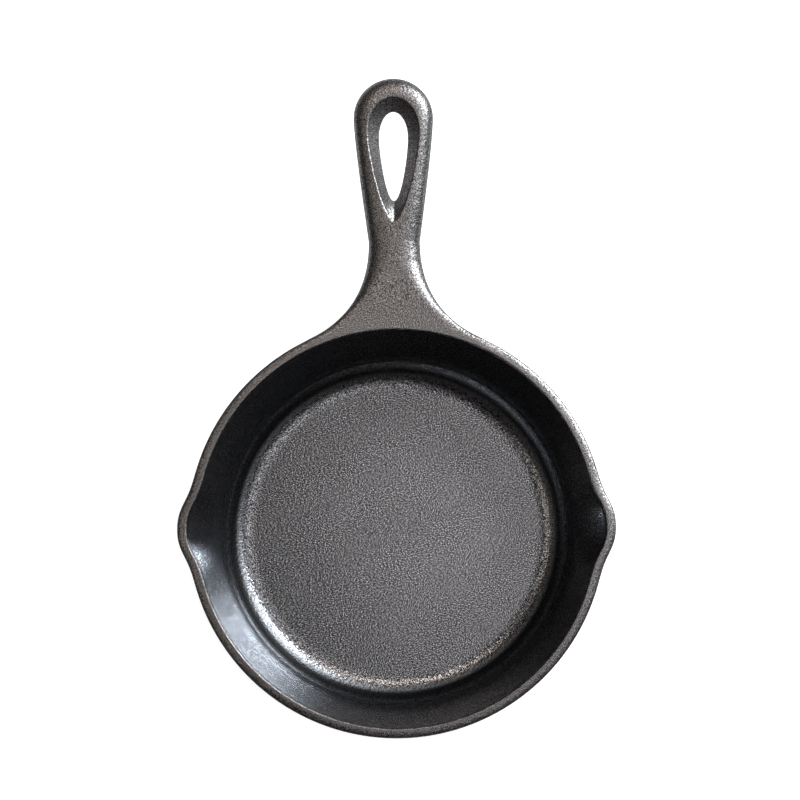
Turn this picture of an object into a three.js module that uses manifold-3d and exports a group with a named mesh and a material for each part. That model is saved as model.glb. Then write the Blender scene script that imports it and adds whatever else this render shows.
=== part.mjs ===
// A cast iron skillet. It is one casting: a flared round pan with two pour spouts, and a handle with a
// teardrop hanging hole. Millimetres, +Z up. The origin is the middle of the flat base, and the handle
// points along +Y.
import * as THREE from "three";
import { mergeVertices } from "three/addons/utils/BufferGeometryUtils.js";
import Module from "manifold-3d";

// Pan. A meeting radius is where two straight faces would cross if their corner weren't rounded.
const RIM_RADIUS = 82.55; // outside the rim, half of 6.5 inches
const PAN_HEIGHT = 36;
const RIM_WIDTH = 3.9; // the level top of the wall, rounded edges included
const RIM_BAND = 1.8; // the outside is upright over this height below the rim
const RIM_OUTER_ROUND = 1.2;
const RIM_INNER_ROUND = 0.6;
const BASE_MEETING_RADIUS = 67.4;
const BASE_ROUND = 9.5;
const FLOOR_THICKNESS = 4;
const FLOOR_MEETING_RADIUS = 66.6;
const FLOOR_ROUND = 8;
const PAN_SEGMENTS = 96;
const WALL_STEP = 5; // the longest step up the wall, so that the spouts can bend it

// Pour spouts, at -X and +X
const SPOUT_REACH = 4.1; // how far the rim bulges out
const SPOUT_HALF_ANGLE = THREE.MathUtils.degToRad(8.3);
const SPOUT_SHARPNESS = 2.6;
const SPOUT_FOOT = 16; // height at which the bulge has died away
const SPOUT_FULL = PAN_HEIGHT - RIM_BAND; // height from which it is at its full reach

// Handle, as distances from the middle of the pan
const LOOP_RADIUS = 15.9;
const LOOP_CENTRE = 163.7;
const HANDLE_TIP = LOOP_CENTRE + LOOP_RADIUS;
const NECK = 114;
const NECK_HALF_WIDTH = 10.2;
const ROOT_ANGLE = THREE.MathUtils.degToRad(25); // where the handle's side joins the rim, from +Y
// How strongly the curves of its side hold their first direction
const SIDE_PULL = { loop: 10, neckToLoop: 1, neckToRim: 29, rim: 4.5 };
const ROOT_INSIDE = 62; // the handle's blank runs this far into the pan before the bowl is cut
const HANDLE_RISE = 4.5; // the tip's top above the rim
const HANDLE_THICKNESS = 9.5;
const ROOT_EXTRA = 5; // how much thicker the handle is where it meets the wall
const ROOT_EXTRA_LENGTH = 7;
const WING_THICKNESS = 5; // the root's thickness at its two outer ends
const UNDER_ROUND = 3; // of the handle's lower edges
const HANDLE_CURVE_STEPS = 14;
const ROUND_STEPS = 4;
const FACE_STEPS = 6; // strips across the handle's top and bottom faces

// The handle's upper edges: how far their rounding reaches across and down, at places along the handle
const CROWN = [
  { along: 84, across: RIM_OUTER_ROUND, down: RIM_OUTER_ROUND },
  { along: 94, across: 6, down: 2.8 },
  { along: 106, across: 9, down: 4.5 },
  { along: 114, across: 9, down: 4.5 },
  { along: 128, across: 7, down: 4.2 },
];

// Hanging hole: a wide teardrop in the top face, narrowest at the parting plane, and wider again below
const MOUTH = { tip: 121.3, bend: 148, middle: 157.5, end: 171.5, halfWidth: 10.6, tipPull: 3.6 };
const THROAT = { tip: 131, bend: 149.7, middle: 156, end: 166.3, halfWidth: 5.6, tipPull: 2.8 };
const THROAT_DEPTH = 5.2; // of the parting plane, below the top face
const HOLE_BACK_FLARE = 1.4; // how far the hole widens from the parting plane to the bottom face
const HOLE_CURVE_STEPS = 9;

const wasm = await Module();
wasm.setup();

// A closed mesh as a manifold-3d solid, with doubled vertices merged and flat triangles dropped.
function toSolid(geometry) {
  const bare = new THREE.BufferGeometry();
  bare.setAttribute("position", geometry.getAttribute("position"));
  bare.setIndex(geometry.index);
  const merged = mergeVertices(bare, 1e-4);
  const corners = merged.index.array;
  const kept = [];
  for (let i = 0; i < corners.length; i += 3) {
    const [a, b, c] = corners.slice(i, i + 3);
    if (a !== b && b !== c && c !== a) kept.push(a, b, c);
  }
  return new wasm.Manifold(
    new wasm.Mesh({
      numProp: 3,
      vertProperties: merged.attributes.position.array,
      triVerts: new Uint32Array(kept),
    }),
  );
}

function toGeometry(solid) {
  const mesh = solid.getMesh();
  const geometry = new THREE.BufferGeometry();
  geometry.setAttribute("position", new THREE.BufferAttribute(mesh.vertProperties, 3));
  geometry.setIndex(new THREE.BufferAttribute(mesh.triVerts, 1));
  geometry.computeVertexNormals();
  return geometry;
}

// The points of a path through corners [x, y, radius], each rounded by an arc of its radius.
function roundedPath(corners) {
  return corners.flatMap(([x, y, radius], i) => {
    const corner = new THREE.Vector2(x, y);
    if (!radius) return [corner];
    const back = new THREE.Vector2(...corners[i - 1]).sub(corner).normalize();
    const ahead = new THREE.Vector2(...corners[i + 1]).sub(corner).normalize();
    const half = Math.acos(back.dot(ahead)) / 2;
    const inwards = back.clone().add(ahead).normalize();
    const centre = corner.clone().addScaledVector(inwards, radius / Math.sin(half));
    const first = corner.clone().addScaledVector(back, radius / Math.tan(half));
    const turn = (Math.PI - 2 * half) * Math.sign(ahead.cross(back));
    const point = (_, k) => first.clone().rotateAround(centre, (turn * k) / ROUND_STEPS);
    return Array.from({ length: ROUND_STEPS + 1 }, point);
  });
}

// The same path with each long wall step cut into equal short ones.
function splitWall(points) {
  return points.flatMap((point, i) => {
    const next = points[i + 1];
    const isWall = next && point.y !== next.y && point.x > 0;
    const cuts = isWall ? Math.ceil(Math.abs(next.y - point.y) / WALL_STEP) : 1;
    return Array.from({ length: cuts }, (_, k) => point.clone().lerp(next ?? point, k / cuts));
  });
}

// A solid turned about Z from a half-section, with the spouts bulging out of its wall.
function turnedWithSpouts(corners) {
  const geometry = new THREE.LatheGeometry(splitWall(roundedPath(corners)), PAN_SEGMENTS);
  geometry.rotateX(Math.PI / 2);
  const position = geometry.getAttribute("position");
  for (let i = 0; i < position.count; i++) {
    const [x, y, z] = [position.getX(i), position.getY(i), position.getZ(i)];
    const radius = Math.hypot(x, y);
    if (radius < 1 || z < SPOUT_FOOT) continue;
    const fromSpout = Math.atan2(Math.abs(y), Math.abs(x)) / SPOUT_HALF_ANGLE;
    const height = Math.min(1, (z - SPOUT_FOOT) / (SPOUT_FULL - SPOUT_FOOT));
    const bulge = SPOUT_REACH * height ** 1.5 * Math.exp(-(fromSpout ** SPOUT_SHARPNESS));
    position.setXY(i, x * (1 + bulge / radius), y * (1 + bulge / radius));
  }
  return toSolid(geometry);
}

// The pan's outside, filled: the bowl is cut once the handle is on.
function panBlank() {
  return turnedWithSpouts([
    [0, 0],
    [BASE_MEETING_RADIUS, 0, BASE_ROUND],
    [RIM_RADIUS, PAN_HEIGHT - RIM_BAND],
    [RIM_RADIUS, PAN_HEIGHT, RIM_OUTER_ROUND],
    [0, PAN_HEIGHT],
  ]);
}

function bowl() {
  const aboveAll = PAN_HEIGHT + 2 * HANDLE_RISE;
  const edge = RIM_RADIUS - RIM_WIDTH;
  return turnedWithSpouts([
    [0, FLOOR_THICKNESS],
    [FLOOR_MEETING_RADIUS, FLOOR_THICKNESS, FLOOR_ROUND],
    [edge, PAN_HEIGHT - RIM_INNER_ROUND],
    [edge + RIM_INNER_ROUND, PAN_HEIGHT],
    [edge + RIM_INNER_ROUND, aboveAll],
    [0, aboveAll],
  ]);
}

// Height of the handle's top face: level with the rim at the root, then a gentle rise to the tip.
function handleTop(y) {
  const along = Math.max(0, (y - RIM_RADIUS) / (HANDLE_TIP - RIM_RADIUS));
  return PAN_HEIGHT + HANDLE_RISE * along ** 1.5;
}

function handleThickness(x, y) {
  const extra = ROOT_EXTRA * Math.exp(-Math.max(0, y - RIM_RADIUS) / ROOT_EXTRA_LENGTH);
  const wing = RIM_RADIUS * Math.sin(ROOT_ANGLE);
  const outwards = Math.min(1, Math.abs(x) / wing) ** 2;
  return THREE.MathUtils.lerp(HANDLE_THICKNESS + extra, WING_THICKNESS, outwards);
}

// The upper edge's rounding at a place along the handle.
function crownAt(y) {
  const after = CROWN.findIndex(({ along }) => along > y);
  if (after < 1) return CROWN.at(after);
  const [from, to] = [CROWN[after - 1], CROWN[after]];
  const share = (y - from.along) / (to.along - from.along);
  const between = (name) => THREE.MathUtils.lerp(from[name], to[name], share);
  return { across: between("across"), down: between("down") };
}

// The handle's right side in plan, from the tip round the loop, along the neck and out to the rim.
function handleSide() {
  const root = new THREE.Vector2(0, RIM_RADIUS).rotateAround(new THREE.Vector2(), -ROOT_ANGLE);
  const alongRim = new THREE.Vector2(-root.y, root.x).normalize();
  const leaveRim = root.clone().addScaledVector(alongRim, SIDE_PULL.rim);
  const side = new THREE.Path();
  side.absarc(0, LOOP_CENTRE, LOOP_RADIUS, Math.PI / 2, 0, true);
  const leaveLoop = LOOP_CENTRE - SIDE_PULL.loop;
  side.bezierCurveTo(LOOP_RADIUS, leaveLoop, NECK_HALF_WIDTH, NECK + SIDE_PULL.neckToLoop, NECK_HALF_WIDTH, NECK);
  side.bezierCurveTo(NECK_HALF_WIDTH, NECK - SIDE_PULL.neckToRim, leaveRim.x, leaveRim.y, root.x, root.y);
  side.lineTo(root.x, ROOT_INSIDE);
  return side.getPoints(HANDLE_CURVE_STEPS);
}

// One closed ring of the handle's surface, through a point of its side and the mirrored point:
// across the bottom face, up round the edge, across the top face and back down.
function handleRing(point, outwards) {
  const bottom = (x, y) => handleTop(y) - handleThickness(x, y);
  const upperRound = crownAt(point.y);
  const lowerRound = { across: UNDER_ROUND, down: UNDER_ROUND };
  const onEdge = (angle, isTop) => {
    const round = isTop ? upperRound : lowerRound;
    const inset = round.across * (1 - Math.sin(angle));
    const { x, y } = point.clone().addScaledVector(outwards, -inset);
    const drop = round.down * (1 - Math.cos(angle));
    return new THREE.Vector3(x, y, isTop ? handleTop(y) - drop : bottom(x, y) + drop);
  };
  const quarter = Array.from({ length: ROUND_STEPS + 1 }, (_, k) => ((k / ROUND_STEPS) * Math.PI) / 2);
  const lower = quarter.map((angle) => onEdge(angle, false));
  const upper = quarter.map((angle) => onEdge(angle, true)).reverse();
  const right = [...lower, ...upper];
  const left = right.map((p) => new THREE.Vector3(-p.x, p.y, p.z)).reverse();
  const across = (from, to, height) =>
    Array.from({ length: FACE_STEPS - 1 }, (_, k) => {
      const p = from.clone().lerp(to, (k + 1) / FACE_STEPS);
      return p.setZ(height(p.x, p.y));
    });
  const top = (x, y) => handleTop(y);
  return [...right, ...across(right.at(-1), left[0], top), ...left, ...across(left.at(-1), right[0], bottom)];
}

// A surface through rings of equally many points.
function loft(rings) {
  const count = rings[0].length;
  const corners = [];
  for (let i = 0; i + 1 < rings.length; i++)
    for (let k = 0; k < count; k++) {
      const [a, b] = [i * count + k, i * count + ((k + 1) % count)];
      corners.push(a, b, a + count, b, b + count, a + count);
    }
  const geometry = new THREE.BufferGeometry().setFromPoints(rings.flat());
  geometry.setIndex(corners);
  return geometry;
}

// A ring drawn together to its middle, which closes the end of a loft.
function closing(ring) {
  const middle = ring.reduce((sum, p) => sum.add(p), new THREE.Vector3()).divideScalar(ring.length);
  return ring.map(() => middle);
}

// The tip's ring is folded flat on itself, so only the root's needs closing.
function handleBlank() {
  const side = handleSide();
  const rings = side.map((point, i) => {
    const ahead = side[Math.min(i + 1, side.length - 1)];
    const behind = side[Math.max(i - 1, 0)];
    const along = ahead.clone().sub(behind).normalize();
    return handleRing(point, i === 0 ? new THREE.Vector2(0, 1) : new THREE.Vector2(-along.y, along.x));
  });
  return toSolid(loft([...rings, closing(rings.at(-1))]));
}

// A teardrop outline with its pointed end towards the pan.
function teardrop({ tip, bend, middle, end, halfWidth, tipPull }) {
  const path = new THREE.Path();
  path.moveTo(0, tip);
  path.bezierCurveTo(tipPull, tip, halfWidth, bend, halfWidth, middle);
  path.absellipse(0, middle, halfWidth, end - middle, 0, Math.PI, false);
  path.bezierCurveTo(-halfWidth, bend, -tipPull, tip, 0, tip);
  return path.getPoints(HOLE_CURVE_STEPS).slice(0, -1);
}

// The cutter follows the handle's top face, and runs past both faces.
function hangingHole() {
  const mouth = teardrop(MOUTH);
  const throat = teardrop(THROAT);
  const below = HANDLE_THICKNESS - THROAT_DEPTH;
  const ring = (depth, share, grow) =>
    mouth.map((wide, i) => {
      const p = throat[i].clone().lerp(wide, share);
      const middle = new THREE.Vector2(0, THROAT.middle);
      p.addScaledVector(p.clone().sub(middle).normalize(), grow);
      return new THREE.Vector3(p.x, p.y, handleTop(p.y) - depth);
    });
  const back = ring(2 * below + THROAT_DEPTH, 0, 2 * HOLE_BACK_FLARE);
  const front = ring(-THROAT_DEPTH, 2, 0);
  return toSolid(loft([closing(back), back, ring(THROAT_DEPTH, 0, 0), front, closing(front)]));
}

function skilletCasting() {
  const solid = panBlank().add(handleBlank()).subtract(bowl()).subtract(hangingHole());
  const iron = new THREE.MeshStandardMaterial({ color: 0x2b2927, roughness: 0.55, metalness: 0.6 });
  const mesh = new THREE.Mesh(toGeometry(solid), iron);
  mesh.name = "skillet_casting";
  return mesh;
}

const skillet = new THREE.Group();
skillet.add(skilletCasting());

export default skillet;
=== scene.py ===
"""A cast iron skillet, as one casting, on a pale studio floor.

The casting is described as a signed field: a function of position that is negative inside the iron. Its
walls, fillets and edges are joined in that field, as they are in the one sand mould, and a mesh is then drawn
over its surface. Lengths in the field are millimetres, and the mesh is in metres.
"""

import math

import bpy
import numpy as np
from mathutils import Matrix, Vector


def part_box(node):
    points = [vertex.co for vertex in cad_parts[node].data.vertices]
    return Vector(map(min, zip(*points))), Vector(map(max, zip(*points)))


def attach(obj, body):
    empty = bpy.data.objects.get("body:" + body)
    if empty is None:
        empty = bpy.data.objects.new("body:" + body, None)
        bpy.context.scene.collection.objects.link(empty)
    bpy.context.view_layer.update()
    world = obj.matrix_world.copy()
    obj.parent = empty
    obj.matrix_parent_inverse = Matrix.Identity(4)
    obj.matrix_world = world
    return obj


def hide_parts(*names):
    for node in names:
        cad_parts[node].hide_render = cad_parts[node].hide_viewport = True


MM = 0.001
TINY = 1e-9

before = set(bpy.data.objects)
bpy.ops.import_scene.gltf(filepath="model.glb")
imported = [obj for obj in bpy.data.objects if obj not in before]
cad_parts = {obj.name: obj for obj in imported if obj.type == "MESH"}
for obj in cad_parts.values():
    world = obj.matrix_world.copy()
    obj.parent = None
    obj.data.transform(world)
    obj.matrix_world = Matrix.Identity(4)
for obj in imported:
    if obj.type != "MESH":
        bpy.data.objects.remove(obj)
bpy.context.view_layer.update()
LOW, HIGH = (np.array(corner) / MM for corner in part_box("skillet_casting"))

# Pan, as in the CAD part
RIM_RADIUS = -LOW[1]
PAN_HEIGHT = 36.0
RIM_WIDTH = 3.9
RIM_BAND = 1.8
BASE_MEETING_RADIUS = 67.4
BASE_ROUND = 9.5
FLOOR_THICKNESS = 4.0
FLOOR_MEETING_RADIUS = 66.6
FLOOR_ROUND = 8.0

# How far edges are rounded, which is finer work than in the CAD part. The rim's top is rounded over nearly
# its whole width.
BAND_ROUND = 1.0
RIM_CROWN_ACROSS = 3.4
RIM_CROWN_DOWN = 1.2
RIM_INNER_ROUND = 0.5
MOUTH_ROUND = 0.35
THROAT_ROUND = 0.6

# Pour spouts, at -X and +X
SPOUT_REACH = HIGH[0] - RIM_RADIUS
SPOUT_HALF_ANGLE = math.radians(8.3)
SPOUT_SHARPNESS = 2.6
SPOUT_FOOT = 16.0
SPOUT_FULL = PAN_HEIGHT - RIM_BAND
SPOUT_FADE = 1.5  # how slowly it starts up the wall

# Handle, as distances from the middle of the pan
HANDLE_TIP = HIGH[1]
LOOP_RADIUS = 15.9
LOOP_CENTRE = HANDLE_TIP - LOOP_RADIUS
NECK = 114.0
NECK_HALF_WIDTH = 10.2
ROOT_ANGLE = math.radians(25)
SIDE_PULL = {"loop": 10.0, "neck_to_loop": 1.0, "neck_to_rim": 29.0, "rim": 4.5}
ROOT_INSIDE = 62.0
ROOT_MARGIN = 12.0  # further in than this from its root, the handle doesn't matter
FAR = 50.0
HANDLE_RISE = 4.5
HANDLE_BEND = 1.5  # above 1, most of the rise is towards the tip
HANDLE_THICKNESS = 9.5
ROOT_EXTRA = 5.0
ROOT_EXTRA_LENGTH = 7.0
WING_THICKNESS = 5.0
HANDLE_UNDER_ROUND = 3.0
WEB_FILLET = 5.0  # where the handle's underside meets the wall
WEB_STARTS, WEB_IS_FULL = 34.0, 27.0  # heights

# The handle's top edges: how far their rounding reaches across and down, at places along the handle
CROWN_PLACES = (84.0, 94.0, 106.0, 114.0, 128.0)
CROWN_ACROSS = (RIM_CROWN_ACROSS, 6.0, 9.0, 9.0, 7.0)
CROWN_DOWN = (RIM_CROWN_DOWN, 2.8, 4.5, 4.5, 4.2)

# Hanging hole
MOUTH = {"tip": 121.3, "bend": 148.0, "middle": 157.5, "end": 171.5, "half_width": 10.6, "tip_pull": 3.6}
THROAT = {"tip": 131.0, "bend": 149.7, "middle": 156.0, "end": 166.3, "half_width": 5.6, "tip_pull": 2.8}
THROAT_DEPTH = 5.2
HOLE_BACK_FLARE = 1.4
CURVE_STEPS = 24

# Grid lines that the mesh is drawn between, in stretches that each give a start, an end and a step. They are
# closest over the handle's width, the bowl's corner, the rim and the loop.
RIM_END = RIM_RADIUS + 1.2
GRID_ACROSS = ((0, 20, 0.7), (20, 60, 1.9), (60, 70, 0.8), (70, 77, 1.4), (77, RIM_END, 0.48))
GRID_ALONG_HANDLE = ((RIM_END, 116, 1.0), (116, HANDLE_TIP + 2, 0.65))
GRID_UPWARDS = ((-0.9, 12, 0.85), (12, 32, 1.8), (32, 41.2, 0.5))
SETTLING_PASSES = 4
LEAST_SQUARED_SLOPE = 0.2  # keeps a settling step short where the field is nearly flat
CELL_CORNERS = [np.array((a, b, c)) for a in (0, 1) for b in (0, 1) for c in (0, 1)]

# Where the surface's finish changes: each pair is where a stretch starts and where it is complete
BOWL_NEAR = (1.0, 0.4)  # distances from the bowl's surface
BOWL_TOP = (PAN_HEIGHT - 0.5, PAN_HEIGHT - 1.3)  # heights, as the four below
WALL_FOOT = (FLOOR_THICKNESS + 1, FLOOR_THICKNESS + 6)
CORNER_HEAD = (11.0, 6.0)
SHOULDER_FOOT = (5.4, 6.8)
SHOULDER_HEAD = (10.5, 8.0)
CORNER_RADII = (FLOOR_MEETING_RADIUS - 5, FLOOR_MEETING_RADIUS - 2)
# Painted light: between these radii the floor reflects more towards its middle, so the middle is lighter than
# the edge
PAINTED_LIGHT_RADII = (58.0, 15.0)
UPPER_DEPTHS = (3.0, 0.5)  # below the top face
UPPER_EXTRA_DEPTH = 5.0  # on the handle, whose upper edges are rounder
HANDLE_STARTS = (RIM_RADIUS, RIM_RADIUS + 8)
HOLE_INSIDE = (-0.1, -0.7)  # distances from the mouth's outline


# ---- the field ----


def rounded_overlap(a, b, radius):
    """The field of what is inside both a and b, with the edge between them rounded."""
    corner = np.hypot(np.maximum(a + radius, 0), np.maximum(b + radius, 0))
    return np.minimum(np.maximum(a, b), -radius) + corner


def crowned_overlap(a, b, across, down):
    """As rounded_overlap, but the rounding is an ellipse that reaches different distances into a and b."""
    return rounded_overlap(a / across, b / down, 1.0) * np.sqrt(across * down)


def filleted_join(a, b, radius):
    """The field of what is inside a or b, with a fillet between them."""
    return -rounded_overlap(-a, -b, radius)


def wall(radius, z, foot, top):
    """Distance outside a straight wall through two points, each a radius and a height."""
    run, rise = top[0] - foot[0], top[1] - foot[1]
    length = math.hypot(run, rise)
    return ((radius - foot[0]) * rise - (z - foot[1]) * run) / length


def spout_bulge(x, y, z):
    """How far the wall stands out of round, for a pour spout."""
    from_spout = np.arctan2(np.abs(y), np.abs(x)) / SPOUT_HALF_ANGLE
    height = np.clip((z - SPOUT_FOOT) / (SPOUT_FULL - SPOUT_FOOT), 0, 1)
    return SPOUT_REACH * height**SPOUT_FADE * np.exp(-(from_spout**SPOUT_SHARPNESS))


def pan_outside(radius, z):
    side = wall(radius, z, (BASE_MEETING_RADIUS, 0), (RIM_RADIUS, PAN_HEIGHT - RIM_BAND))
    banded = rounded_overlap(side, radius - RIM_RADIUS, BAND_ROUND)
    return rounded_overlap(banded, -z, BASE_ROUND)


def bowl(radius, z):
    edge = (RIM_RADIUS - RIM_WIDTH, PAN_HEIGHT)
    side = wall(radius, z, (FLOOR_MEETING_RADIUS, FLOOR_THICKNESS), edge)
    return rounded_overlap(side, FLOOR_THICKNESS - z, FLOOR_ROUND)


def bezier(p0, p1, p2, p3):
    """Points along a cubic curve, without its last one."""
    t = np.linspace(0, 1, CURVE_STEPS, endpoint=False)[:, None]
    p0, p1, p2, p3 = (np.array(p, float) for p in (p0, p1, p2, p3))
    return (1 - t) ** 3 * p0 + 3 * (1 - t) ** 2 * t * p1 + 3 * (1 - t) * t**2 * p2 + t**3 * p3


def mirrored(half):
    """A closed outline from its half at x > 0, listed from one end of the mirror line to the other."""
    other = half[::-1] * (-1, 1)
    return np.concatenate((half, other[np.abs(other[:, 0]) > TINY]))


def handle_outline():
    angles = np.linspace(math.pi / 2, 0, 2 * CURVE_STEPS, endpoint=False)
    tip = np.stack((np.cos(angles), np.sin(angles)), 1) * LOOP_RADIUS + (0, LOOP_CENTRE)
    root = np.array((math.sin(ROOT_ANGLE), math.cos(ROOT_ANGLE))) * RIM_RADIUS
    leave_rim = root + SIDE_PULL["rim"] * np.array((-math.cos(ROOT_ANGLE), math.sin(ROOT_ANGLE)))
    leave_loop = (LOOP_RADIUS, LOOP_CENTRE - SIDE_PULL["loop"])
    waist = (NECK_HALF_WIDTH, NECK)
    reach_waist = (NECK_HALF_WIDTH, NECK + SIDE_PULL["neck_to_loop"])
    leave_waist = (NECK_HALF_WIDTH, NECK - SIDE_PULL["neck_to_rim"])
    loop_side = bezier((LOOP_RADIUS, LOOP_CENTRE), leave_loop, reach_waist, waist)
    fan = bezier(waist, leave_waist, leave_rim, root)
    return mirrored(np.concatenate((tip, loop_side, fan, [root, (root[0], ROOT_INSIDE)])))


def teardrop(tip, bend, middle, end, half_width, tip_pull):
    point = bezier((0, tip), (tip_pull, tip), (half_width, bend), (half_width, middle))
    angles = np.linspace(0, math.pi / 2, CURVE_STEPS + 1)
    far_end = np.stack((half_width * np.cos(angles), middle + (end - middle) * np.sin(angles)), 1)
    return mirrored(np.concatenate((point, far_end)))


def outside(x, y, outline):
    """Signed distance to a closed outline in plan, negative inside it."""
    nearest = np.full(np.shape(x), np.inf)
    within = np.zeros(np.shape(x), bool)
    for (ax, ay), (bx, by) in zip(outline, np.roll(outline, -1, axis=0)):
        ex, ey = bx - ax, by - ay
        t = np.clip(((x - ax) * ex + (y - ay) * ey) / (ex * ex + ey * ey), 0, 1)
        nearest = np.minimum(nearest, (x - ax - t * ex) ** 2 + (y - ay - t * ey) ** 2)
        if ey:
            within ^= ((ay > y) != (by > y)) & (x < ax + (y - ay) * ex / ey)
    return np.where(within, -1, 1) * np.sqrt(nearest)


def smooth(start, end, value):
    t = np.clip((value - start) / (end - start), 0, 1)
    return t * t * (3 - 2 * t)


def handle_top(y):
    along = np.clip((y - RIM_RADIUS) / (HANDLE_TIP - RIM_RADIUS), 0, None)
    return PAN_HEIGHT + HANDLE_RISE * along**HANDLE_BEND


def handle_thickness(x, y):
    extra = ROOT_EXTRA * np.exp(-np.clip(y - RIM_RADIUS, 0, None) / ROOT_EXTRA_LENGTH)
    outwards = np.clip(np.abs(x) / (RIM_RADIUS * math.sin(ROOT_ANGLE)), 0, 1) ** 2
    middle = HANDLE_THICKNESS + extra
    return middle + (WING_THICKNESS - middle) * outwards


HANDLE, MOUTH_LINE, THROAT_LINE = handle_outline(), teardrop(**MOUTH), teardrop(**THROAT)


def plan_distances(x, y):
    """The three distances in plan that the handle needs. Far from the handle they don't matter."""
    near = y > ROOT_INSIDE - ROOT_MARGIN
    found = []
    for outline in (HANDLE, MOUTH_LINE, THROAT_LINE):
        distance = np.full(np.shape(x), FAR)
        distance[near] = outside(x[near], y[near], outline)
        found.append(distance)
    return found


def hanging_hole(mouth, throat, depth):
    """A funnel from the mouth down to the throat, and a slight flare from there to the underside."""
    share = 1 - depth / THROAT_DEPTH
    slope = math.hypot(THROAT_DEPTH, MOUTH["half_width"] - THROAT["half_width"]) / THROAT_DEPTH
    funnel = (throat + (mouth - throat) * share) / slope
    below = (depth - THROAT_DEPTH) / (HANDLE_THICKNESS - THROAT_DEPTH)
    return -rounded_overlap(-funnel, -(throat - HOLE_BACK_FLARE * below), THROAT_ROUND)


def casting(x, y, z, plan=None):
    """The field of the whole skillet at round-pan positions, where the spouts haven't bent the wall yet."""
    handle_plan, mouth, throat = plan or plan_distances(x, y)
    radius = np.hypot(x, y)
    top = handle_top(y)
    handle = rounded_overlap(handle_plan, top - handle_thickness(x, y) - z, HANDLE_UNDER_ROUND)
    body = filleted_join(pan_outside(radius, z), handle, WEB_FILLET * smooth(-WEB_STARTS, -WEB_IS_FULL, -z))
    across, down = (np.interp(y, CROWN_PLACES, sizes) for sizes in (CROWN_ACROSS, CROWN_DOWN))
    body = crowned_overlap(body, z - top, across, down)
    body = rounded_overlap(body, -bowl(radius, z), RIM_INNER_ROUND)
    return rounded_overlap(body, -hanging_hole(mouth, throat, top - z), MOUTH_ROUND)


# ---- the mesh over the field ----


def steps(*stretches):
    """Places along an axis, from stretches that each give a start, an end and a step."""
    places = [np.linspace(a, b, round((b - a) / step), endpoint=False) for a, b, step in stretches]
    return np.concatenate((*places, [stretches[-1][1]]))


def to_disc(u, v):
    """Square coordinates bent so that squares about the middle become circles, crossed evenly by lines."""
    upright = np.abs(v) >= np.abs(u)
    long, short = np.where(upright, v, u), np.where(upright, u, v)
    angle = math.pi / 4 * short / np.where(long == 0, 1, long)
    along, across = long * np.cos(angle), long * np.sin(angle)
    return np.where(upright, across, along), np.where(upright, along, across)


def crossed_cells(inside):
    """The grid cells that the surface crosses, and a grid with the number of each, or -1."""
    shape = tuple(n - 1 for n in inside.shape)
    count = np.zeros(shape, np.int8)
    for a, b, c in CELL_CORNERS:
        count += inside[a : a + shape[0], b : b + shape[1], c : c + shape[2]]
    cells = np.argwhere((count > 0) & (count < len(CELL_CORNERS)))
    number = np.full(shape, -1)
    number[tuple(cells.T)] = np.arange(len(cells))
    return cells, number


def surface_points(field, axes, cells):
    """A point in each cell: the mean of the places where the surface crosses the cell's edges."""
    total, crossings = np.zeros((len(cells), 3)), np.zeros(len(cells))
    for first in CELL_CORNERS:
        for axis in np.flatnonzero(first == 0):
            second = first + np.eye(3, dtype=int)[axis]
            a, b = cells + first, cells + second
            fa, fb = field[tuple(a.T)], field[tuple(b.T)]
            crossed = (fa < 0) != (fb < 0)
            t = np.where(crossed, fa / np.where(crossed, fa - fb, 1), 0)
            pa = np.stack([axes[k][a[:, k]] for k in range(3)], 1)
            pb = np.stack([axes[k][b[:, k]] for k in range(3)], 1)
            total += crossed[:, None] * (pa + t[:, None] * (pb - pa))
            crossings += crossed
    return total / crossings[:, None]


def surface_quads(inside, number):
    """A quad for each grid edge that the surface crosses, between the cells around it, facing outwards."""
    quads = []
    for axis in range(3):
        start = np.moveaxis(inside, axis, 0)[:-1]
        end = np.moveaxis(inside, axis, 0)[1:]
        edges = np.argwhere(np.moveaxis(start != end, 0, axis))
        p, q = np.eye(3, dtype=int)[[(axis + 1) % 3, (axis + 2) % 3]]
        around = np.stack([number[tuple((edges - s).T)] for s in (p + q, q, 0 * p, p)], 1)
        leaving = inside[tuple(edges.T)]
        quads.append(np.where(leaving[:, None], around, around[:, ::-1]))
    return np.concatenate(quads)


def field_here(points):
    """The field at real positions."""
    x, y, z = points.T
    radius = np.maximum(np.hypot(x, y), TINY)
    shrink = 1 - spout_bulge(x, y, z) / radius
    return casting(x * shrink, y * shrink, z)


def slope_here(points, reach=0.02):
    """The field's gradient at real positions, by central differences."""
    return np.stack(
        [(field_here(points + d) - field_here(points - d)) / (2 * reach) for d in reach * np.eye(3)], 1
    )


def grid_axes():
    """The places of the grid lines along each axis, before the grid is bent into a disc."""
    across = steps(*GRID_ACROSS)
    both_ways = np.concatenate((-across[:0:-1], across))
    along = np.concatenate((both_ways, steps(*GRID_ALONG_HANDLE)[1:]))
    return both_ways, along, steps(*GRID_UPWARDS)


def first_surface():
    """Points on the surface to within a grid step, and the quads between them."""
    axes = grid_axes()
    x, y = to_disc(*np.meshgrid(axes[0], axes[1], indexing="ij"))
    plan = [distance[:, :, None] for distance in plan_distances(x, y)]
    field = casting(x[:, :, None], y[:, :, None], axes[2][None, None, :], plan)
    cells, number = crossed_cells(field < 0)
    points = surface_points(field, axes, cells)
    x, y = to_disc(points[:, 0], points[:, 1])
    stretch = 1 + spout_bulge(x, y, points[:, 2]) / np.maximum(np.hypot(x, y), TINY)
    return np.stack((x * stretch, y * stretch, points[:, 2]), 1), surface_quads(field < 0, number)


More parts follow.
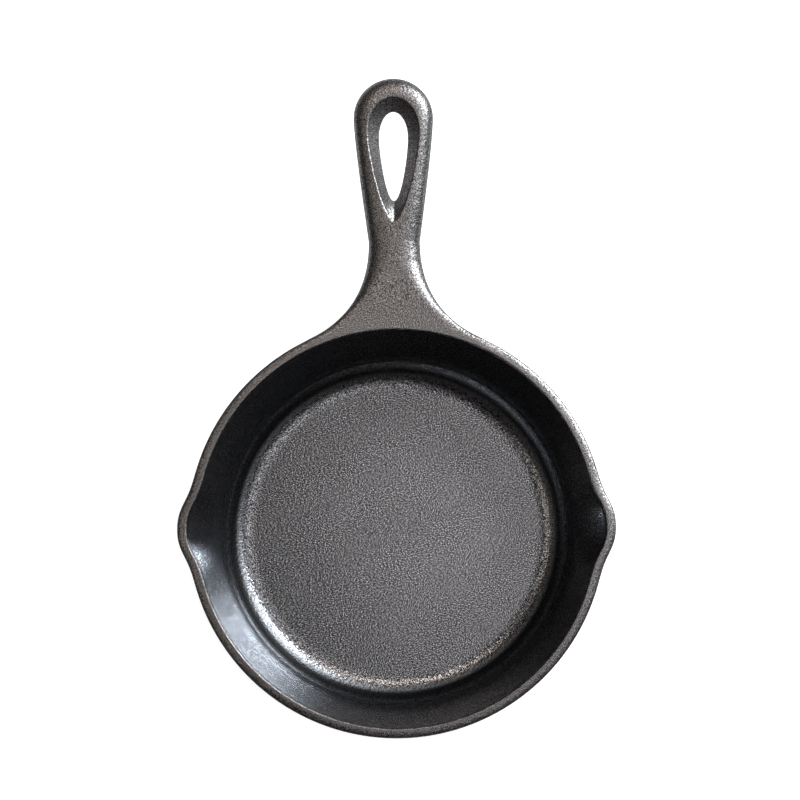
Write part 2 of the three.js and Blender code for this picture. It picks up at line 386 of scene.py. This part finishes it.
def casting_surface():
    """Vertices in millimetres, quads and outward normals of the whole casting."""
    points, quads = first_surface()
    for _ in range(SETTLING_PASSES):
        slope = slope_here(points)
        squared = np.maximum((slope**2).sum(1), LEAST_SQUARED_SLOPE)
        points -= (field_here(points) / squared)[:, None] * slope
    slope = slope_here(points)
    return points, quads, slope / np.linalg.norm(slope, axis=1)[:, None]


def finish_zones(points):
    """How much each vertex belongs to each stretch with a finish or painted light of its own, from 0 to 1."""
    x, y, z = points.T
    radius = np.hypot(x, y) - spout_bulge(x, y, z)
    in_bowl = smooth(*BOWL_NEAR, np.abs(bowl(radius, z))) * smooth(*BOWL_TOP, z)
    depth = handle_top(y) - z - UPPER_EXTRA_DEPTH * smooth(*HANDLE_STARTS, y)
    return {
        "bowl": in_bowl,
        "wall": in_bowl * smooth(*WALL_FOOT, z),
        "corner": in_bowl * smooth(*CORNER_RADII, radius) * smooth(*CORNER_HEAD, z),
        "shoulder": in_bowl * smooth(*SHOULDER_FOOT, z) * smooth(*SHOULDER_HEAD, z),
        # painted light: the floor's middle, made to reflect more than its edge
        "painted_light_middle": in_bowl * smooth(*PAINTED_LIGHT_RADII, radius),
        "upper": smooth(*UPPER_DEPTHS, depth),
        "hole": smooth(*HOLE_INSIDE, plan_distances(x, y)[1]),
    }


def make_casting():
    points, quads, normals = casting_surface()
    mesh = bpy.data.meshes.new("skillet")
    mesh.from_pydata((points * MM).tolist(), [], quads.tolist())
    mesh.shade_smooth()
    mesh.normals_split_custom_set_from_vertices(normals.tolist())
    for name, share in finish_zones(points).items():
        mesh.attributes.new(name, "FLOAT", "POINT").data.foreach_set("value", share)
    piece = bpy.data.objects.new("skillet", mesh)
    bpy.context.scene.collection.objects.link(piece)
    return piece


# ---- materials ----


class Finish:
    """A material's node tree, with a short way to add nodes and link them."""

    def __init__(self, name):
        self.material = bpy.data.materials.new(name)
        self.material.use_nodes = True
        self.tree = self.material.node_tree
        self.shader = self.tree.nodes["Principled BSDF"]

    def set(self, node, **values):
        """Sets inputs to numbers, colours or other nodes' outputs. Underscores stand for spaces."""
        for name, value in values.items():
            socket = node.inputs[name.replace("_", " ")]
            if isinstance(value, bpy.types.NodeSocket):
                self.tree.links.new(value, socket)
            else:
                socket.default_value = value
        return node

    def add(self, kind, settings=None, **values):
        node = self.tree.nodes.new("ShaderNode" + kind)
        for name, value in (settings or {}).items():
            setattr(node, name, value)
        return self.set(node, **values)

    def math(self, operation, *numbers):
        node = self.add("Math", {"operation": operation})
        for socket, number in zip(node.inputs, numbers):
            if isinstance(number, bpy.types.NodeSocket):
                self.tree.links.new(number, socket)
            else:
                socket.default_value = number
        return node.outputs[0]

    def between(self, share, low, high):
        """A number that goes from low to high as the share goes from 0 to 1."""
        return self.add("Mix", {"data_type": "FLOAT"}, Factor=share, A=low, B=high).outputs["Result"]

    def noise(self, place, size, detail=0.0):
        return self.add("TexNoise", Vector=place, Scale=1 / size, Detail=detail).outputs["Fac"]

    def zones(self, *names):
        """How much a point belongs to each of these stretches of the surface, from 0 to 1."""
        return [self.add("Attribute", {"attribute_name": name}).outputs["Fac"] for name in names]


# Sizes of the grain, the specks and the patches of tone, in metres
GRAIN_PITCH = 0.0009
GRAIN_DEPTH = 0.0001
SPECK = 0.0004
WALL_SPECK = 0.00045
TONE_PATCH = 0.022

WALL_GRAIN = 0.1  # share of the grain's height that is left on the wall
DARKEST_SPECK = 0.15
TONE_SPREAD = 0.13
WARM_IRON = (0.182, 0.174, 0.172, 1)
COOL_IRON = (0.164, 0.175, 0.190, 1)
BOWL_COOLNESS = 0.25
GRAZING_TINT = (0.5, 0.5, 0.5, 1)  # of what the iron reflects at a low angle

# The finish of each stretch. "outside" is the casting's sides and underside, "upper" the rim and handle from
# above, the zone at the floor's middle a painted light, and "shoulder" the line where the corner meets the
# wall.
CONTRAST = {"outside": 2.2, "upper": 3.8, "floor": 6.8, "wall": 4.0}
# Painted light and shade in the reflectance: the wall's 1.8 is a painted reflection that brightens its lit
# side, and "outside" is painted darker than "upper", so the sides and underside are darker than the tops
GLOSS_AND_PAINTED_LIGHT = {"outside": 0.5, "upper": 0.78, "floor": 0.8, "painted_light_middle": 1.0, "wall": 1.8, "hole": 1.1}
# Painted shade: the corner reflects less, to dim its highlight, and the shoulder much less, to darken the
# light it catches from the wall
PAINTED_SHADE = {"corner": 0.85, "shoulder": 0.25}
ROUGHNESS = {"outside": 0.4, "floor": 0.25, "wall": 0.24, "corner": 0.5, "shoulder": 0.3, "hole": 0.46}


def grain_normal(finish, place):
    """The pebbles that the sand mould leaves."""
    (wall_zone,) = finish.zones("wall")
    pebbles = finish.add("TexVoronoi", {"feature": "SMOOTH_F1"}, Vector=place, Scale=1 / GRAIN_PITCH)
    height = finish.math("MULTIPLY", pebbles.outputs["Distance"], finish.between(wall_zone, 1.0, WALL_GRAIN))
    return finish.add("Bump", Strength=1.0, Distance=GRAIN_DEPTH, Height=height).outputs["Normal"]


def speck_contrast(finish, place):
    """The lightness of the specks, which varies about 1."""
    bowl_zone, wall_zone, corner, upper = finish.zones("bowl", "wall", "corner", "upper")
    specks = finish.between(wall_zone, finish.noise(place, SPECK), finish.noise(place, WALL_SPECK))
    pebbled = finish.math("MULTIPLY", bowl_zone, finish.math("SUBTRACT", 1.0, corner))
    satin = finish.between(upper, CONTRAST["outside"], CONTRAST["upper"])
    spread = finish.between(pebbled, satin, CONTRAST["floor"])
    spread = finish.between(wall_zone, spread, CONTRAST["wall"])
    change = finish.math("MULTIPLY", finish.math("SUBTRACT", specks, 0.5), spread)
    return finish.math("MAXIMUM", finish.math("ADD", change, 1.0), DARKEST_SPECK)


def patch_tone(finish, place):
    """Broad, faint patches everywhere but on the wall."""
    (wall_zone,) = finish.zones("wall")
    patches = finish.noise(place, TONE_PATCH, detail=2.0)
    return finish.between(wall_zone, finish.between(patches, 1 - TONE_SPREAD, 1 + TONE_SPREAD), 1.0)


def gloss_and_painted_light(finish):
    """How much the surface reflects, as a share of the iron's colour, with painted light and shade in it."""
    bowl_zone, wall_zone, painted_light_middle, upper = finish.zones("bowl", "wall", "painted_light_middle", "upper")
    corner, shoulder, hole_zone = finish.zones("corner", "shoulder", "hole")
    # The floor's middle is painted lighter than its edge.
    floor = finish.between(painted_light_middle, GLOSS_AND_PAINTED_LIGHT["floor"], GLOSS_AND_PAINTED_LIGHT["painted_light_middle"])
    satin = finish.between(upper, GLOSS_AND_PAINTED_LIGHT["outside"], GLOSS_AND_PAINTED_LIGHT["upper"])
    share = finish.between(wall_zone, finish.between(bowl_zone, satin, floor), GLOSS_AND_PAINTED_LIGHT["wall"])
    # Painted shade in the corner and along the shoulder
    painted_shade = finish.between(shoulder, finish.between(corner, 1.0, PAINTED_SHADE["corner"]), PAINTED_SHADE["shoulder"])
    return finish.between(hole_zone, finish.math("MULTIPLY", share, painted_shade), GLOSS_AND_PAINTED_LIGHT["hole"])


def roughness(finish):
    bowl_zone, wall_zone, corner = finish.zones("bowl", "wall", "corner")
    shoulder, hole_zone = finish.zones("shoulder", "hole")
    value = finish.between(bowl_zone, ROUGHNESS["outside"], ROUGHNESS["floor"])
    value = finish.between(wall_zone, value, ROUGHNESS["wall"])
    in_corner = finish.between(shoulder, ROUGHNESS["corner"], ROUGHNESS["shoulder"])
    return finish.between(hole_zone, finish.between(corner, value, in_corner), ROUGHNESS["hole"])


def iron_colour(finish, place, shade):
    """Warm or cool from grain to grain, cooler in the bowl, and scaled by the shade."""
    (bowl_zone,) = finish.zones("bowl")
    lean = finish.between(bowl_zone, -BOWL_COOLNESS, BOWL_COOLNESS)
    tint = finish.add("ValToRGB", Fac=finish.math("ADD", finish.noise(place, GRAIN_PITCH), lean))
    tint.color_ramp.elements[0].color = WARM_IRON
    tint.color_ramp.elements[1].color = COOL_IRON
    scaled = finish.add("VectorMath", {"operation": "SCALE"}, Vector=tint.outputs["Color"], Scale=shade)
    return scaled.outputs[0]


def seasoned_iron():
    """Cast iron under baked-on oil: satin as cast, glossier in the bowl and rough in its corner."""
    finish = Finish("seasoned_iron")
    place = finish.add("TexCoord").outputs["Object"]
    shade = finish.math("MULTIPLY", speck_contrast(finish, place), patch_tone(finish, place))
    finish.set(
        finish.shader,
        # The colour carries painted light and shade through the reflectance share
        Base_Color=iron_colour(finish, place, finish.math("MULTIPLY", shade, gloss_and_painted_light(finish))),
        Metallic=1.0,
        Specular_Tint=GRAZING_TINT,
        Roughness=roughness(finish),
        Normal=grain_normal(finish, place),
    )
    return finish.material


WHITE = (1, 1, 1, 1)
FLOOR_GREY = (0.5, 0.5, 0.5, 1)
FLOOR_GLOW = 0.93


def pale_floor():
    """Pale by a light of its own, so that it stays even around the pan."""
    finish = Finish("pale_floor")
    finish.set(finish.shader, Base_Color=FLOOR_GREY, Roughness=1.0, Specular_IOR_Level=0.0)
    finish.set(finish.shader, Emission_Color=WHITE, Emission_Strength=FLOOR_GLOW)
    return finish.material


# ---- studio ----


ROOM_LIGHT = (0.004, 0.003, 0.0025, 1)
FLOOR_HALF = 3.0  # metres

CAMERA_TARGET = (0.00176, 0.0504, PAN_HEIGHT * MM)
CAMERA_TILT = math.radians(5.7)
CAMERA_ROLL = math.radians(-0.47)
CAMERA_LENS = 115
SENSOR_WIDTH = 36
SHOWN_WIDTH = 0.3163  # metres across the picture, at the target

# Softboxes: azimuth from +X towards +Y and elevation in degrees, distance and (width, height) in metres,
# radiance, and colour
SOFTBOXES = {
    "key": (42, 37.5, 1.4, (0.56, 0.28), 64, (0.955, 0.985, 1)),
    "overhead": (5, 77, 2.0, (1.3, 1.2), 1.25, (1, 0.93, 0.92)),
    "back": (92, 60, 1.5, (0.8, 0.3), 5.5, (1, 0.85, 0.75)),
    "warm_fill": (178, 62, 1.5, (0.5, 0.5), 2.0, (1, 0.89, 0.79)),
    "front": (-40, 70, 1.5, (1.2, 0.45), 0.6, (1, 0.97, 0.96)),
}


def softbox(name, azimuth, elevation, distance, size, radiance, colour):
    """A rectangular area light that faces the pan."""
    light = bpy.data.lights.new(name, "AREA")
    light.shape = "RECTANGLE"
    light.size, light.size_y = size
    light.energy = radiance * math.pi * light.size * light.size_y
    light.color = colour
    lamp = bpy.data.objects.new(name, light)
    bpy.context.scene.collection.objects.link(lamp)
    a, e = math.radians(azimuth), math.radians(elevation)
    towards = Vector((math.cos(a) * math.cos(e), math.sin(a) * math.cos(e), math.sin(e)))
    lamp.location = towards * distance
    lamp.rotation_euler = towards.to_track_quat("Z", "Y").to_euler()


def make_floor():
    mesh = bpy.data.meshes.new("floor")
    corners = [(x * FLOOR_HALF, y * FLOOR_HALF, 0) for x, y in ((-1, -1), (1, -1), (1, 1), (-1, 1))]
    mesh.from_pydata(corners, [], [(0, 1, 2, 3)])
    floor = bpy.data.objects.new("floor", mesh)
    bpy.context.scene.collection.objects.link(floor)
    mesh.materials.append(pale_floor())


def make_camera():
    camera = bpy.data.cameras.new("camera")
    camera.lens = CAMERA_LENS
    camera.sensor_width = SENSOR_WIDTH
    seen = bpy.data.objects.new("camera", camera)
    bpy.context.scene.collection.objects.link(seen)
    distance = SHOWN_WIDTH * CAMERA_LENS / SENSOR_WIDTH
    away = Vector((0, -math.sin(CAMERA_TILT), math.cos(CAMERA_TILT)))
    seen.location = Vector(CAMERA_TARGET) + distance * away
    turn = Matrix.Rotation(CAMERA_TILT, 3, "X") @ Matrix.Rotation(CAMERA_ROLL, 3, "Z")
    seen.rotation_euler = turn.to_euler()
    bpy.context.scene.camera = seen


def make_world():
    """Pale where it is seen behind the floor, and as a light a dim room."""
    world = bpy.data.worlds.new("studio")
    world.use_nodes = True
    nodes, links = world.node_tree.nodes, world.node_tree.links
    seen = nodes.new("ShaderNodeMix")
    seen.data_type = "RGBA"
    path = nodes.new("ShaderNodeLightPath")
    links.new(path.outputs["Is Camera Ray"], seen.inputs["Factor"])
    room, backdrop = [socket for socket in seen.inputs if socket.type == "RGBA"]
    room.default_value = ROOM_LIGHT
    backdrop.default_value = WHITE
    mixed = next(socket for socket in seen.outputs if socket.type == "RGBA")
    links.new(mixed, nodes["Background"].inputs["Color"])
    bpy.context.scene.world = world


def make_studio():
    make_floor()
    make_world()
    for name, settings in SOFTBOXES.items():
        softbox(name, *settings)
    bpy.context.scene.view_settings.view_transform = "Standard"


skillet = make_casting()
skillet.data.materials.append(seasoned_iron())
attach(skillet, "root")
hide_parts("skillet_casting")
make_camera()
make_studio()
